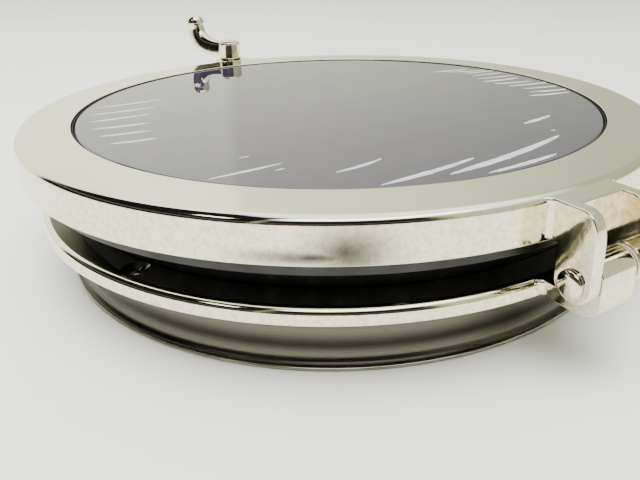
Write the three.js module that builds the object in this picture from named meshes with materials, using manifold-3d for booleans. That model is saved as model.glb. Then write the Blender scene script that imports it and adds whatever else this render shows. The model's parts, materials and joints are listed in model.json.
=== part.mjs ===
// Opening porthole for a boat: a round frame with a spigot that passes through the hull side,
// a glazed lid hinged to it, and one lever latch opposite the hinge.
// Millimetres, +Z up. The origin is on the ring axis, in the plane of the spigot's end.
// The hinge is at -Y and the latch at +Y. The lid is closed on its seal and the latch is undone.

import * as THREE from 'three';
import { mergeVertices } from 'three/addons/utils/BufferGeometryUtils.js';
import Module from 'manifold-3d';

const wasm = await Module();
wasm.setup();

// ---- driving dimensions ----
const gap = 0.3; // clearance kept between pieces that touch
const through = 1; // how far a cutting tool passes beyond what it cuts
const edgeOverlap = 0.6; // how far a flare starts inside its ring's faceted edge
const ringSegments = 72;
const smallSegments = 20;
const screwSegments = 12;

const sightRadius = 155; // inner edge of the polished lid ring
const lidRadius = 181.7;
const lidHeight = 19.4;
const lidEdgeRound = 3.7;
const landRadius = 175; // recessed ring under the lid, which closes on the seal
const landHeight = 7;
const flangeRadius = 175.5;
const flangeThickness = 7.5;
const flangeEdgeRound = 3.5;
const clearRadius = 150; // opening through the frame
const spigotRadius = 160.5;
const spigotWall = 3;
const spigotDepth = 29; // from the flange's seat to the spigot's end
const spigotRebate = 2; // how far the tube is let into the flange's underside
const rimRadius = 164.5;
const rimHeight = 2.4;
const sealHeight = 14; // space between the frame flange and the lid

const glassThickness = 10;
const glassRadius = 153.5;
const glassRecess = 0.8;
const glassLedgeRadius = 147;

const screwCircleRadius = 165.7;
const countersinkRadius = 6;
const screwHoleRadius = 3.2;
const screwHoleAnglesFromHinge = [63, 111, 159]; // on each side of the hinge

const hingeReach = 18.5; // from the flange's edge out to the pin
const hingePinRadius = 3.5;
const knuckleRadius = 8.5;
const knuckleWidth = 20;
const hingeWasherThickness = 1;
const earWidth = 5.7;
const lugFlare = 4; // how far a hinge lug widens where it grows out of its ring
const lugEmbed = 5; // how far a lug reaches into its ring

const latchAxisY = 192;
const latchBossRadius = 13;
const latchLugFlare = 9;
const hubRadius = 9;
const hubHeight = 14.2;
const leverAzimuth = 113; // degrees from +X: a little off straight out, as the undone lever lies
const leverThickness = 14;
const leverTipRadius = 7.75;
const leverReach = 41.5;
const leverRise = 28.5; // from the lid to the middle of the lever's tip

// ---- levels and places worked out from them ----
const flangeSeat = spigotDepth;
const flangeTop = flangeSeat + flangeThickness;
const landBottom = flangeTop + sealHeight;
const lidBottom = landBottom + landHeight;
const lidTop = lidBottom + lidHeight;
const glassTop = lidTop - glassRecess;
const glassBottom = glassTop - glassThickness;
const glazingBed = 1.8; // room under the glass for its seal
const glassLedgeTop = glassBottom - glazingBed;
const hingeY = -(flangeRadius + hingeReach);
const hingeZ = flangeTop + knuckleRadius + 1;
const washerInner = knuckleWidth / 2 + gap;
const earInner = washerInner + hingeWasherThickness + gap;
const earOuter = earInner + earWidth;
const pinBoreRadius = hingePinRadius + gap;
const bushWall = 1.4;
const bushRadius = pinBoreRadius + bushWall;
const earBottom = lidBottom + 1.5;
const earTop = lidTop - 0.9;

// ---- materials ----
const finish = (color, roughness, metalness) => (
  new THREE.MeshStandardMaterial({ color, roughness, metalness })
);
const polishedSteel = () => finish(0xd9d8d0, 0.08, 1);
const satinSteel = () => finish(0x8f8b82, 0.4, 1);
const greySteel = () => finish(0x8c8c8a, 0.35, 1);
const blackRubber = () => finish(0x101010, 0.8, 0);
const whiteNylon = () => finish(0xe4e2da, 0.5, 0);
const tintedGlass = () => finish(0x6f6c7c, 0.05, 0);

// ---- solids ----
// Joins the vertices that faces share, and drops the faces that collapse on an axis.
function weld(geometry) {
  const bare = geometry.clone();
  bare.deleteAttribute('normal');
  bare.deleteAttribute('uv');
  const welded = mergeVertices(bare);
  const kept = [];
  for (let i = 0; i < welded.index.count; i += 3) {
    const corners = [0, 1, 2].map((k) => welded.index.getX(i + k));
    if (new Set(corners).size === 3) kept.push(...corners);
  }
  welded.setIndex(kept);
  return welded;
}

function solidOf(geometry) {
  const welded = weld(geometry);
  return new wasm.Manifold(new wasm.Mesh({
    numProp: 3,
    vertProperties: new Float32Array(welded.attributes.position.array),
    triVerts: new Uint32Array(welded.index.array),
  }));
}

function geometryOf(solid) {
  const mesh = solid.getMesh();
  const geometry = new THREE.BufferGeometry();
  geometry.setAttribute('position', new THREE.BufferAttribute(mesh.vertProperties, 3));
  geometry.setIndex(new THREE.BufferAttribute(mesh.triVerts, 1));
  geometry.computeVertexNormals();
  return geometry;
}

const joined = (solids) => solids.reduce((whole, solid) => whole.add(solid));
const cut = (solid, tools) => tools.reduce((rest, tool) => rest.subtract(tool), solid);

function piece(name, geometry, material, parent) {
  const mesh = new THREE.Mesh(geometry, material);
  mesh.name = name;
  parent.add(mesh);
  return mesh;
}

// ---- outlines ----
function arc(centreX, centreY, radius, startDegrees, endDegrees, steps) {
  return Array.from({ length: steps + 1 }, (_, i) => {
    const angle = THREE.MathUtils.degToRad(startDegrees + (endDegrees - startDegrees) * i / steps);
    return [centreX + radius * Math.cos(angle), centreY + radius * Math.sin(angle)];
  });
}

// A body turned about Z. The outline is [radius, height] points, counter-clockwise.
function turned(outline, segments) {
  const points = outline.map(([radius, height]) => new THREE.Vector2(radius, height));
  if (outline[0][0] > 0) points.push(points[0].clone());
  return new THREE.LatheGeometry(points, segments).rotateX(Math.PI / 2);
}

// A plain tube about Z.
function sleeve(innerRadius, outerRadius, bottom, top, segments) {
  return turned([
    [innerRadius, bottom],
    [outerRadius, bottom],
    [outerRadius, top],
    [innerRadius, top],
  ], segments);
}

function cylinder(radius, bottom, top, segments) {
  return new THREE.CylinderGeometry(radius, radius, top - bottom, segments)
    .rotateX(Math.PI / 2)
    .translate(0, 0, (top + bottom) / 2);
}

// A plan outline in X and Y, raised between two levels.
function raised(shape, bottom, top) {
  return new THREE.ExtrudeGeometry(shape, {
    depth: top - bottom, bevelEnabled: false, curveSegments: 5,
  }).translate(0, 0, bottom);
}

// A side outline in Y and Z, as wide as the span from startX to endX.
function widened(shape, startX, endX) {
  const toSide = new THREE.Matrix4().makeBasis(
    new THREE.Vector3(0, 1, 0),
    new THREE.Vector3(0, 0, 1),
    new THREE.Vector3(1, 0, 0),
  );
  return new THREE.ExtrudeGeometry(shape, {
    depth: endX - startX, bevelEnabled: false, curveSegments: 6,
  }).applyMatrix4(toSide).translate(startX, 0, 0);
}

// A shape turned about Z is laid along X, on the hinge axis.
const onHingeAxis = (geometry) => geometry.rotateY(Math.PI / 2).translate(0, hingeY, hingeZ);

function aroundRing(radius, azimuths, make) {
  return azimuths.map((azimuth) => {
    const angle = THREE.MathUtils.degToRad(azimuth);
    return make().translate(radius * Math.cos(angle), radius * Math.sin(angle), 0);
  });
}

// ---- frame: flange, spigot, seal ----
const mountingAzimuths = screwHoleAnglesFromHinge.flatMap((angle) => [angle - 90, -angle - 90]);
const sealRetainerThickness = 2.5;
const sealRetainerHeight = 7.5;
const keeperScrewRadius = 1.5;
const keeperScrewDepth = 5;
const keeperFootX = -17;
const keeperScrewY = [165.6, 170.6];

function frameHingeLug() {
  const rear = -flangeRadius + lugEmbed;
  const back = hingeY + knuckleRadius;
  const front = hingeY - knuckleRadius;
  const neck = 2; // inner corner between the arm and the barrel
  const side = new THREE.Shape();
  side.moveTo(rear, flangeSeat);
  side.lineTo(rear, flangeTop);
  side.lineTo(back + neck, flangeTop);
  side.quadraticCurveTo(back, flangeTop, back, flangeTop + neck);
  side.absarc(hingeY, hingeZ, knuckleRadius, 0, Math.PI, false);
  side.lineTo(front, flangeTop + neck);
  side.quadraticCurveTo(front, flangeSeat, hingeY + 2 * neck, flangeSeat);
  return widened(side, -knuckleWidth / 2, knuckleWidth / 2);
}

// The flared root where a lug grows out of a ring, seen from above.
function lugRoot(ringRadius, lugHalfWidth, lugEndY) {
  const rootHalfWidth = lugHalfWidth + lugFlare;
  const rootY = -Math.sqrt(ringRadius ** 2 - rootHalfWidth ** 2) + edgeOverlap;
  const neckY = rootY - lugFlare;
  const plan = new THREE.Shape();
  plan.moveTo(-rootHalfWidth, rootY);
  plan.quadraticCurveTo(-lugHalfWidth, rootY, -lugHalfWidth, neckY);
  plan.lineTo(-lugHalfWidth, lugEndY);
  plan.lineTo(lugHalfWidth, lugEndY);
  plan.lineTo(lugHalfWidth, neckY);
  plan.quadraticCurveTo(lugHalfWidth, rootY, rootHalfWidth, rootY);
  plan.lineTo(lugHalfWidth, rootY + lugEmbed);
  plan.lineTo(-lugHalfWidth, rootY + lugEmbed);
  return plan;
}

function mountingHole() {
  const throat = cylinder(screwHoleRadius, flangeSeat - through, flangeTop + through, smallSegments);
  const depth = countersinkRadius - screwHoleRadius;
  const cone = new THREE.CylinderGeometry(
    countersinkRadius + gap,
    screwHoleRadius,
    depth + gap,
    smallSegments,
  ).rotateX(Math.PI / 2).translate(0, 0, flangeTop + gap - (depth + gap) / 2);
  return solidOf(throat).add(solidOf(cone));
}

function flangeRing() {
  const shoulder = arc(
    flangeRadius - flangeEdgeRound,
    flangeTop - flangeEdgeRound,
    flangeEdgeRound,
    0,
    90,
    3,
  );
  const retainerRadius = clearRadius + sealRetainerThickness;
  const rebateRadius = spigotRadius + gap;
  const rebateTop = flangeSeat + spigotRebate;
  const ring = turned([
    [clearRadius, rebateTop],
    [rebateRadius, rebateTop],
    [rebateRadius, flangeSeat],
    [flangeRadius, flangeSeat],
    ...shoulder,
    [retainerRadius, flangeTop],
    [retainerRadius, flangeTop + sealRetainerHeight],
    [clearRadius, flangeTop + sealRetainerHeight],
  ], ringSegments);
  const root = raised(lugRoot(flangeRadius, knuckleWidth / 2, hingeY + knuckleRadius), flangeSeat, flangeTop);
  const blank = joined([ring, frameHingeLug(), root].map(solidOf));
  const pinBore = onHingeAxis(cylinder(pinBoreRadius, -knuckleWidth, knuckleWidth, smallSegments));
  const keeperHoles = keeperScrewY.map((y) => (
    cylinder(
      keeperScrewRadius + gap,
      flangeTop - keeperScrewDepth - gap,
      flangeTop + through,
      screwSegments,
    ).translate(keeperFootX, y, 0)
  ));
  const holes = aroundRing(screwCircleRadius, mountingAzimuths, () => geometryOf(mountingHole()));
  return geometryOf(cut(blank, [pinBore, ...keeperHoles, ...holes].map(solidOf)));
}

// The tube's lower end flares into a round rim.
function spigotTube() {
  const inner = spigotRadius - spigotWall;
  const top = flangeSeat + spigotRebate - gap;
  const rim = arc(rimRadius - rimHeight / 2, rimHeight / 2, rimHeight / 2, -90, 90, 4);
  const flare = arc(rimRadius - rimHeight / 2, 2 * rimHeight, rimHeight, 270, 210, 2);
  const tube = rim.concat(flare.slice(1), [
    [spigotRadius, 2 * rimHeight],
    [spigotRadius, top],
    [inner, top],
  ]);
  return turned([[inner, 0], ...tube], ringSegments);
}

// A D-section rubber ring: its round back takes the lid.
function compressionSeal() {
  const inner = clearRadius + sealRetainerThickness + gap;
  const backRadius = 3.2;
  const middle = inner + backRadius;
  return turned([
    [inner, flangeTop + gap],
    [inner + 2 * backRadius, flangeTop + gap],
    ...arc(middle, landBottom - gap - backRadius, backRadius, 0, 180, 6),
  ], ringSegments);
}

// ---- hinge pieces ----
const clipThickness = 1.4;
const clipRadius = 6;
const hingeWasherRadius = 7.6;

function hingePin() {
  const headRadius = 5.5;
  const headThickness = 2.6;
  const headChamfer = 1;
  const headEnd = -earOuter - gap;
  const headFace = headEnd - headThickness;
  const clipEnd = earOuter + gap + clipThickness + 1;
  return onHingeAxis(turned([
    [0, headFace],
    [headRadius - headChamfer, headFace],
    [headRadius, headFace + headChamfer],
    [headRadius, headEnd],
    [hingePinRadius, headEnd],
    [hingePinRadius, clipEnd],
    [0, clipEnd],
  ], smallSegments));
}

const pinClip = () => onHingeAxis(
  sleeve(pinBoreRadius, clipRadius, earOuter + gap, earOuter + gap + clipThickness, smallSegments),
);

const hingeWasher = (side) => onHingeAxis(sleeve(
  pinBoreRadius,
  hingeWasherRadius,
  side * (washerInner + hingeWasherThickness / 2) - hingeWasherThickness / 2,
  side * (washerInner + hingeWasherThickness / 2) + hingeWasherThickness / 2,
  smallSegments,
));

const hingeBush = (side) => onHingeAxis(sleeve(
  pinBoreRadius,
  bushRadius,
  side * (earInner + earOuter) / 2 - earWidth / 2,
  side * (earInner + earOuter) / 2 + earWidth / 2,
  smallSegments,
));

// ---- latch keeper: an overhanging lip that the tongue turns under ----
const tongueTop = flangeTop + 8.3;
const tongueThickness = 3.8;
const lipUnderside = tongueTop + gap;
const lipTop = landBottom - 3 * gap;
const lipEndX = 7;
const keeperStart = 163.4;
const keeperDepth = 9.6;
const keeperFootReach = 5; // from the screws out to the foot's end
const keeperFootTop = flangeTop + 3;

function latchKeeper() {
  const postX = -12;
  const postThickness = 5;
  const section = new THREE.Shape();
  section.moveTo(keeperFootX - keeperFootReach, flangeTop + gap);
  section.lineTo(postX + postThickness, flangeTop + gap);
  section.lineTo(postX + postThickness, lipUnderside);
  section.lineTo(lipEndX, lipUnderside);
  section.lineTo(lipEndX, lipTop);
  section.lineTo(postX, lipTop);
  section.lineTo(postX, keeperFootTop);
  section.lineTo(keeperFootX - keeperFootReach, keeperFootTop);
  const bar = new THREE.ExtrudeGeometry(section, { depth: keeperDepth, bevelEnabled: false })
    .rotateX(Math.PI / 2)
    .translate(0, keeperStart + keeperDepth, 0);
  const holes = keeperScrewY.map((y) => (
    cylinder(keeperScrewRadius + gap, flangeTop - through, keeperFootTop + through, screwSegments)
      .translate(keeperFootX, y, 0)
  ));
  return geometryOf(cut(solidOf(bar), holes.map(solidOf)));
}

function keeperScrew(y) {
  const headRadius = 2.2;
  const headBottom = keeperFootTop + gap;
  const headTop = headBottom + 1.8;
  const headRound = 0.8;
  return turned([
    [0, flangeTop - keeperScrewDepth],
    [keeperScrewRadius, flangeTop - keeperScrewDepth],
    [keeperScrewRadius, headBottom],
    [headRadius, headBottom],
    [headRadius, headTop - headRound],
    [headRadius - headRound, headTop],
    [0, headTop],
  ], screwSegments).translate(keeperFootX, y, 0);
}

// ---- lid: ring, glass, land ring ----
const lidScrewCount = 8;
const lidScrewCircle = 167;
const lidScrewRadius = 2;
const lidScrewHeadRadius = 4;
const lidScrewTop = lidBottom + 10.5;
const lidBottomChamfer = 0.8;
const lidScrewAzimuths = Array.from({ length: lidScrewCount }, (_, i) => (i + 0.5) * 360 / lidScrewCount);
const latchLugBottom = lidBottom + 2.5;
const spindleRadius = 4.5;
const latchBushRadius = 6.5;
const oRingRadius = 8;
const oRingThickness = 1.2;

function lidEar(startX) {
  const side = new THREE.Shape();
  const rear = -lidRadius + lugEmbed;
  const back = hingeY + knuckleRadius;
  const front = hingeY - knuckleRadius;
  const crownStart = hingeZ + 16;
  side.moveTo(back, hingeZ);
  side.lineTo(back, earBottom);
  side.lineTo(rear, earBottom);
  side.lineTo(rear, earTop);
  side.lineTo(hingeY, earTop);
  side.quadraticCurveTo(front, earTop, front, crownStart);
  side.lineTo(front, hingeZ);
  side.absarc(hingeY, hingeZ, knuckleRadius, Math.PI, 2 * Math.PI, false);
  return widened(side, startX, startX + earWidth);
}

function latchLugPlan() {
  const rootHalfWidth = latchBossRadius + latchLugFlare;
  const rootY = Math.sqrt(lidRadius ** 2 - rootHalfWidth ** 2) - edgeOverlap;
  const shoulderY = rootY + 2;
  const plan = new THREE.Shape();
  plan.moveTo(-rootHalfWidth, rootY);
  plan.quadraticCurveTo(-latchBossRadius, shoulderY, -latchBossRadius, latchAxisY);
  plan.absarc(0, latchAxisY, latchBossRadius, Math.PI, 0, true);
  plan.quadraticCurveTo(latchBossRadius, shoulderY, rootHalfWidth, rootY);
  plan.lineTo(latchBossRadius, rootY - lugEmbed);
  plan.lineTo(-latchBossRadius, rootY - lugEmbed);
  return plan;
}

function lidRing() {
  const ring = turned([
    [sightRadius, lidBottom],
    [lidRadius - lidBottomChamfer, lidBottom],
    [lidRadius, lidBottom + lidBottomChamfer],
    ...arc(lidRadius - lidEdgeRound, lidTop - lidEdgeRound, lidEdgeRound, 0, 90, 4),
    [sightRadius, lidTop],
  ], ringSegments);
  const hingeBlock = raised(
    lugRoot(lidRadius, earOuter, hingeY + pinBoreRadius),
    earBottom,
    earTop,
  );
  const latchLug = raised(latchLugPlan(), latchLugBottom, lidTop);
  const blank = joined([ring, hingeBlock, lidEar(earInner), lidEar(-earOuter), latchLug].map(solidOf));
  const bushBore = onHingeAxis(cylinder(bushRadius + gap, -2 * earOuter, 2 * earOuter, smallSegments));
  const latchBore = cylinder(latchBushRadius + gap, lidBottom, lidTop + through, smallSegments);
  const grooveHalfWidth = oRingThickness / 2 + gap;
  const oRingGroove = sleeve(
    oRingRadius - grooveHalfWidth,
    oRingRadius + grooveHalfWidth,
    lidTop - oRingThickness - gap,
    lidTop + through,
    smallSegments,
  );
  const screwHoles = aroundRing(lidScrewCircle, lidScrewAzimuths, () => (
    cylinder(lidScrewRadius + gap, lidBottom - through, lidScrewTop + gap, screwSegments)
  ));
  const latchCuts = [latchBore, oRingGroove].map((tool) => tool.translate(0, latchAxisY, 0));
  return geometryOf(cut(blank, [bushBore, ...latchCuts, ...screwHoles].map(solidOf)));
}

function glassPane() {
  const chamfer = 0.8;
  return turned([
    [0, glassBottom],
    [glassRadius - chamfer, glassBottom],
    [glassRadius, glassBottom + chamfer],
    [glassRadius, glassTop - chamfer],
    [glassRadius - chamfer, glassTop],
    [0, glassTop],
  ], ringSegments);
}

// An L-section: a bed under the glass and a thin wall between the glass and the lid ring.
function glazingSeal() {
  const wallInner = glassRadius + gap;
  const wallOuter = sightRadius - gap;
  const wallTop = glassTop - 0.2;
  const bedInner = glassLedgeRadius + 1;
  return turned([
    [bedInner, glassLedgeTop + gap],
    [wallOuter, glassLedgeTop + gap],
    [wallOuter, wallTop],
    [wallInner, wallTop],
    [wallInner, glassBottom - gap],
    [bedInner, glassBottom - gap],
  ], ringSegments);
}

function landRing() {
  const upstandRadius = sightRadius - gap;
  const ring = turned([
    [glassLedgeRadius, landBottom],
    [landRadius, landBottom],
    [landRadius, lidBottom - gap],
    [upstandRadius, lidBottom - gap],
    [upstandRadius, glassLedgeTop],
    [glassLedgeRadius, glassLedgeTop],
  ], ringSegments);
  const sinkDepth = lidScrewHeadRadius - lidScrewRadius;
  const screwHoles = aroundRing(lidScrewCircle, lidScrewAzimuths, () => {
    const throat = cylinder(lidScrewRadius + gap, landBottom - through, lidBottom + through, screwSegments);
    const sink = new THREE.CylinderGeometry(
      lidScrewRadius + gap,
      lidScrewHeadRadius + 2 * gap,
      sinkDepth + gap,
      screwSegments,
    ).rotateX(Math.PI / 2).translate(0, 0, landBottom + sinkDepth / 2);
    return geometryOf(solidOf(throat).add(solidOf(sink)));
  });
  return geometryOf(cut(solidOf(ring), screwHoles.map(solidOf)));
}

function lidScrews() {
  const sinkDepth = lidScrewHeadRadius - lidScrewRadius;
  return aroundRing(lidScrewCircle, lidScrewAzimuths, () => turned([
    [0, landBottom + gap],
    [lidScrewHeadRadius, landBottom + gap],
    [lidScrewRadius, landBottom + gap + sinkDepth],
    [lidScrewRadius, lidScrewTop],
    [0, lidScrewTop],
  ], screwSegments));
}

// ---- latch: all of it turned about its own axis, so it is built there and then placed ----
const bearingRadius = 9.5; // flange of the bush, and the washer under it
const bushFlangeThickness = 1.5;
const bushFlangeBottom = latchLugBottom - gap - bushFlangeThickness;
const thrustWasherThickness = 1.5;
const thrustWasherTop = bushFlangeBottom - gap;
const collarRadius = 7;
const collarTop = thrustWasherTop - thrustWasherThickness - gap;
const collarBottom = tongueTop + gap;
const tailRadius = 3.4;
const hubBottom = lidTop + gap;
const hubTop = hubBottom + hubHeight;
const nutHeight = 2.9;
const nutTop = tongueTop - tongueThickness - gap;
const tailBottom = nutTop - nutHeight - 1;
const spindleTop = hubTop - 0.5;

const latchBush = () => turned([
  [spindleRadius + gap, bushFlangeBottom],
  [bearingRadius, bushFlangeBottom],
  [bearingRadius, latchLugBottom - gap],
  [latchBushRadius, latchLugBottom - gap],
  [latchBushRadius, lidTop - gap],
  [spindleRadius + gap, lidTop - gap],
], smallSegments);

const latchORing = () => new THREE.TorusGeometry(oRingRadius, oRingThickness / 2, 6, smallSegments)
  .translate(0, 0, lidTop - oRingThickness / 2);

const thrustWasher = () => sleeve(
  spindleRadius + gap,
  bearingRadius,
  thrustWasherTop - thrustWasherThickness,
  thrustWasherTop,
  smallSegments,
);

const spindle = () => turned([
  [0, tailBottom],
  [tailRadius, tailBottom],
  [tailRadius, collarBottom],
  [collarRadius, collarBottom],
  [collarRadius, collarTop],
  [spindleRadius, collarTop],
  [spindleRadius, spindleTop],
  [0, spindleTop],
], smallSegments);

function tailBore() {
  const bore = new THREE.Path();
  bore.absarc(0, 0, tailRadius + gap, 0, 2 * Math.PI, true);
  return bore;
}

function tongue() {
  const tongueLength = 24;
  const tongueHalfWidth = 5.5;
  const bossRadius = 8;
  const plan = new THREE.Shape();
  const bossAngle = Math.asin(tongueHalfWidth / bossRadius);
  plan.absarc(0, 0, bossRadius, bossAngle, 2 * Math.PI - bossAngle, false);
  plan.absarc(tongueLength - tongueHalfWidth, 0, tongueHalfWidth, -Math.PI / 2, Math.PI / 2, false);
  plan.holes.push(tailBore());
  return raised(plan, tongueTop - tongueThickness, tongueTop);
}

function tongueNut() {
  const cornerRadius = 6.2;
  const corners = arc(0, 0, cornerRadius, 0, 300, 5).map(([x, y]) => new THREE.Vector2(x, y));
  const plan = new THREE.Shape(corners);
  plan.holes.push(tailBore());
  return raised(plan, nutTop - nutHeight, nutTop);
}

// A round hub and a finger lever that runs out from it and curls upwards to a rounded tip.
function leverHandle() {
  const middle = leverThickness / 2 + 0.5;
  const hubEdge = 0.8;
  const curve = new THREE.CatmullRomCurve3([
    new THREE.Vector3(hubRadius / 2, 0, middle),
    new THREE.Vector3(0.4 * leverReach, 0, middle),
    new THREE.Vector3(0.72 * leverReach, 0, middle + 2),
    new THREE.Vector3(0.93 * leverReach, 0, middle + 8),
    new THREE.Vector3(leverReach, 0, leverRise),
  ]);
  const section = new THREE.Shape();
  section.absellipse(0, 0, leverThickness / 2, leverThickness / 2 - 1, 0, 2 * Math.PI, false);
  const arm = new THREE.ExtrudeGeometry(section, { steps: 12, curveSegments: 6, extrudePath: curve })
    .translate(0, 0, lidTop);
  const tip = new THREE.SphereGeometry(leverTipRadius, 14, 10)
    .translate(leverReach, 0, lidTop + leverRise);
  const hub = turned([
    [0, hubBottom],
    [hubRadius - hubEdge, hubBottom],
    [hubRadius, hubBottom + hubEdge],
    [hubRadius, hubTop - hubEdge],
    [hubRadius - hubEdge, hubTop],
    [0, hubTop],
  ], smallSegments);
  const bore = cylinder(spindleRadius + gap, hubBottom - through, hubTop + through, smallSegments);
  return geometryOf(cut(joined([hub, arm, tip].map(solidOf)), [solidOf(bore)]))
    .rotateZ(THREE.MathUtils.degToRad(leverAzimuth));
}

// A thin domed disc that covers the spindle's end.
function handleCap() {
  const radius = 7.6;
  const wallHeight = 0.4;
  const domeHeight = 0.9;
  const bottom = hubTop + gap;
  const dome = arc(0, 0, 1, 0, 90, 3).map(([x, z]) => [radius * x, bottom + wallHeight + domeHeight * z]);
  return turned([[0, bottom], [radius, bottom], ...dome], smallSegments);
}

// ---- assembly ----
const porthole = new THREE.Group();

const frame = new THREE.Group();
porthole.add(frame);
piece('flange_ring', flangeRing(), polishedSteel(), frame);
piece('spigot_tube', spigotTube(), satinSteel(), frame);
piece('compression_seal', compressionSeal(), blackRubber(), frame);
piece('latch_keeper', latchKeeper(), greySteel(), frame);
keeperScrewY.forEach((y, i) => piece(`keeper_screw_${i + 1}`, keeperScrew(y), greySteel(), frame));
piece('hinge_pin', hingePin(), polishedSteel(), frame);
piece('hinge_pin_clip', pinClip(), greySteel(), frame);

const lid = new THREE.Group();
porthole.add(lid);
piece('lid_ring', lidRing(), polishedSteel(), lid);
piece('glass_pane', glassPane(), tintedGlass(), lid);
piece('glazing_seal', glazingSeal(), blackRubber(), lid);
piece('lid_land_ring', landRing(), greySteel(), lid);
lidScrews().forEach((screw, i) => piece(`lid_land_screw_${i + 1}`, screw, greySteel(), lid));

for (const [word, side] of [['left', -1], ['right', 1]]) {
  piece(`hinge_washer_${word}`, hingeWasher(side), whiteNylon(), frame);
  piece(`hinge_bush_${word}`, hingeBush(side), whiteNylon(), lid);
}

const latch = new THREE.Group();
latch.position.y = latchAxisY;
porthole.add(latch);
piece('latch_bush', latchBush(), whiteNylon(), latch);
piece('latch_o_ring', latchORing(), blackRubber(), latch);
piece('latch_thrust_washer', thrustWasher(), greySteel(), latch);
piece('latch_spindle', spindle(), greySteel(), latch);
piece('latch_tongue', tongue(), greySteel(), latch);
piece('latch_tongue_nut', tongueNut(), greySteel(), latch);
piece('lever_handle', leverHandle(), polishedSteel(), latch);
piece('handle_cap', handleCap(), polishedSteel(), latch);

export default porthole;
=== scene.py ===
"""The looks of the opening porthole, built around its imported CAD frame.

Lengths are metres in the CAD's own frame: the ring axis is Z, the hinge is at -Y and the latch at +Y.
"""

import json
import math
import random

import bmesh
import bpy
from mathutils import Matrix, Vector


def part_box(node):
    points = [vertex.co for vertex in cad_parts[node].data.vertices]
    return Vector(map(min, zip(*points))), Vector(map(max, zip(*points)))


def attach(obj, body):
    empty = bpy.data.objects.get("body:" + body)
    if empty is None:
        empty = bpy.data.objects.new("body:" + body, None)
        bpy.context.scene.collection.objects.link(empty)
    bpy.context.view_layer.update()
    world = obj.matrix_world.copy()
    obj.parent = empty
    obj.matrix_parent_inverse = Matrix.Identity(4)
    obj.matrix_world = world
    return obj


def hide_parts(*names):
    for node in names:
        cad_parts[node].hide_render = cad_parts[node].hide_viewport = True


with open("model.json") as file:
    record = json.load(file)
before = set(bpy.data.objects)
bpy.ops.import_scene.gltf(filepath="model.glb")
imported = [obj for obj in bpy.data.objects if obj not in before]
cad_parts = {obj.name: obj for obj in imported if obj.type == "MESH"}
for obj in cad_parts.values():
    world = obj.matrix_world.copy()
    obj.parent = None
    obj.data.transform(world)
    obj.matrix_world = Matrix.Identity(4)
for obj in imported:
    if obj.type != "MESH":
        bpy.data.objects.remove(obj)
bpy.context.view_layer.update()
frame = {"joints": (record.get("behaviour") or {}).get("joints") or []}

MM = 0.001
GAP = 0.3 * MM  # the CAD's clearance between pieces that touch
RING_SEGMENTS = 256
SMALL_SEGMENTS = 48
SHARP_ANGLE = math.radians(32)

# ---- sizes read from the frame ----
lid_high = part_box("lid_ring")[1]
flange_low, flange_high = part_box("flange_ring")
spigot_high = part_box("spigot_tube")[1]
seal_low, seal_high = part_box("compression_seal")
land_low, land_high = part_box("lid_land_ring")
glass_low, glass_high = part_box("glass_pane")
glazing_low, glazing_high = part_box("glazing_seal")
pin_low, pin_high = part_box("hinge_pin")
keeper_low, keeper_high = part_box("latch_keeper")
hub_cap_low, hub_cap_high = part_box("handle_cap")
spindle_low, spindle_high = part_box("latch_spindle")
tongue_low, tongue_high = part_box("latch_tongue")
nut_low, nut_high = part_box("latch_tongue_nut")
bush_low, bush_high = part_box("latch_bush")
joints = {joint["name"]: joint for joint in frame["joints"]}
hinge = Vector(joints["lid_hinge"]["pos_m"])
latch = Vector(joints["latch_turn"]["pos_m"])

lid_radius = lid_high.x
lid_top = lid_high.z
lid_bottom = land_low.z + 7 * MM
sight_radius = glass_high.x + 1.5 * MM
flange_radius = flange_high.x
flange_seat = flange_low.z
flange_top = seal_low.z - GAP
clear_radius = 150 * MM
spigot_radius = 160.5 * MM
spigot_inner = spigot_radius - 3 * MM
spigot_rim_height = 1.6 * MM
knuckle_radius = 8.5 * MM
knuckle_front = hinge.y - knuckle_radius
knuckle_back = hinge.y + knuckle_radius
knuckle_half_width = 10 * MM
ear_inner = 11.6 * MM
ear_outer = 17.3 * MM
lug_flare = 4 * MM
lug_embed = 5 * MM
pin_radius = 3.5 * MM
bush_radius = 5.2 * MM
latch_boss_radius = 13 * MM
latch_bush_radius = 6.5 * MM
spindle_radius = 4.5 * MM
lever_azimuth = 113
lever_reach = 41.5 * MM
lever_rise = 28.5 * MM
lever_tip_radius = 7.5 * MM
LEVER_SIDES = 32

# ---- sizes of the screws, their holes and the seats of the small parts ----
hole_circle = 165.7 * MM
hole_radius = 3.2 * MM
countersink_radius = 6 * MM
keeper_drill_radius = 1.8 * MM
land_screw_circle = 167 * MM
land_screw_hole_radius = 2.3 * MM
land_inner = 147 * MM
glazing_inner = 148 * MM
o_ring_groove = (7.1 * MM, 8.9 * MM)
spindle_tail_radius = 3.4 * MM
bore_reach = 40 * MM  # how far the cutters on the hinge axis run to each side
LAND_SCREW_AZIMUTHS = [45 * (i + 0.5) for i in range(8)]
KEEPER_SCREWS = (1, 2)


# ---- meshes ----
def piece_from(maker, name):
    """A new object from a bmesh, with its double points merged and its faces turned outwards."""
    bmesh.ops.remove_doubles(maker, verts=maker.verts, dist=1e-7)
    bmesh.ops.recalc_face_normals(maker, faces=maker.faces)
    mesh = bpy.data.meshes.new(name)
    maker.to_mesh(mesh)
    maker.free()
    piece = bpy.data.objects.new(name, mesh)
    bpy.context.scene.collection.objects.link(piece)
    return piece


def bake_modifiers(piece):
    """Replaces the mesh with what its modifiers make of it."""
    bpy.context.view_layer.update()
    depsgraph = bpy.context.evaluated_depsgraph_get()
    final = bpy.data.meshes.new_from_object(piece.evaluated_get(depsgraph))
    piece.modifiers.clear()
    piece.data = final
    return piece


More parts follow.
